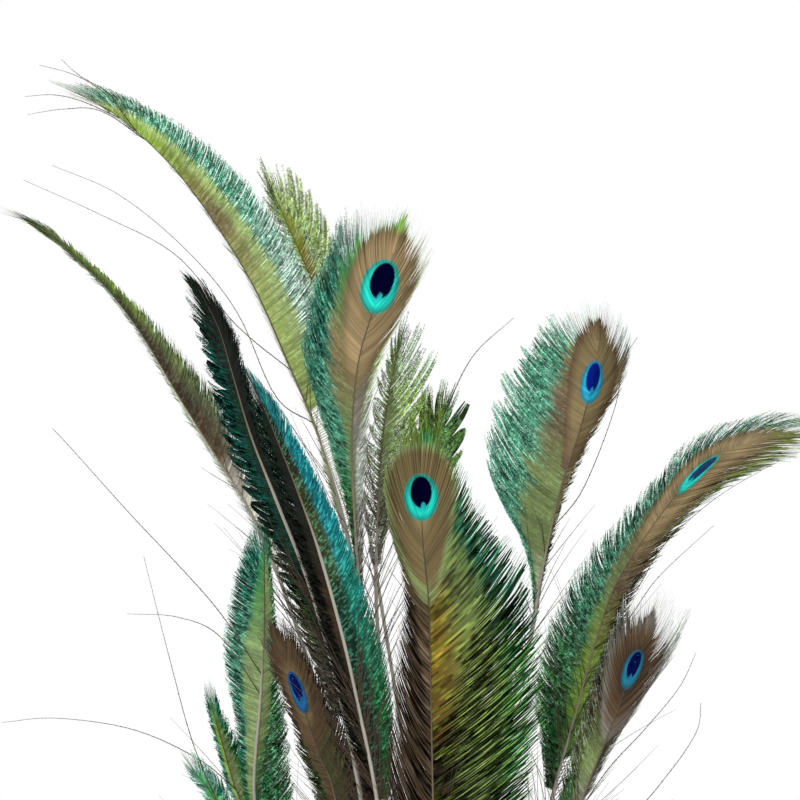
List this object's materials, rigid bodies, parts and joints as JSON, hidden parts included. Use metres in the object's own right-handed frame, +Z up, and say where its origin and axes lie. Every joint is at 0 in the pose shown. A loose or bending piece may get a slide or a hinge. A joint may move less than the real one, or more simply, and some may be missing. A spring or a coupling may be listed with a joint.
{
  "type": "peacock feather bunch in vase",
  "caption": "Bunch of peacock train feathers with eyed, sword and fishtail tips and long loose herls, standing in a plain glazed vase as a decoration.",
  "frame": {"origin": "centre of the vase's flat foot, on the surface it stands on", "axes": "+Z up along the vase's axis, +X to the right and +Y to the back as seen from the side that the eyed feathers face"},
  "size_m": [0.436, 0.1571, 0.7134],
  "materials": {
    "vase": "gloss",
    "feather_teal": "satin",
    "feather_green": "satin",
    "feather_olive": "satin",
    "feather_dark": "satin"
  },
  "bodies": {
    "root": {"vase": "vase", "feather_arching_left": "feather_teal", "feather_tuft_back": "feather_olive", "feather_eyed_upper": "feather_teal", "feather_sparse_back": "feather_green", "feather_eyed_front": "feather_green", "feather_eyed_right": "feather_teal", "feather_arching_right": "feather_teal", "feather_eyed_low_right": "feather_green", "feather_thin_left": "feather_olive", "feather_black": "feather_dark", "feather_blue_edge": "feather_dark", "feather_eyed_low_left": "feather_olive", "feather_bowed_left": "feather_green", "feather_small_left": "feather_green", "feather_short_left": "feather_green", "feather_fishtail": "feather_olive"}
  },
  "joints": []
}
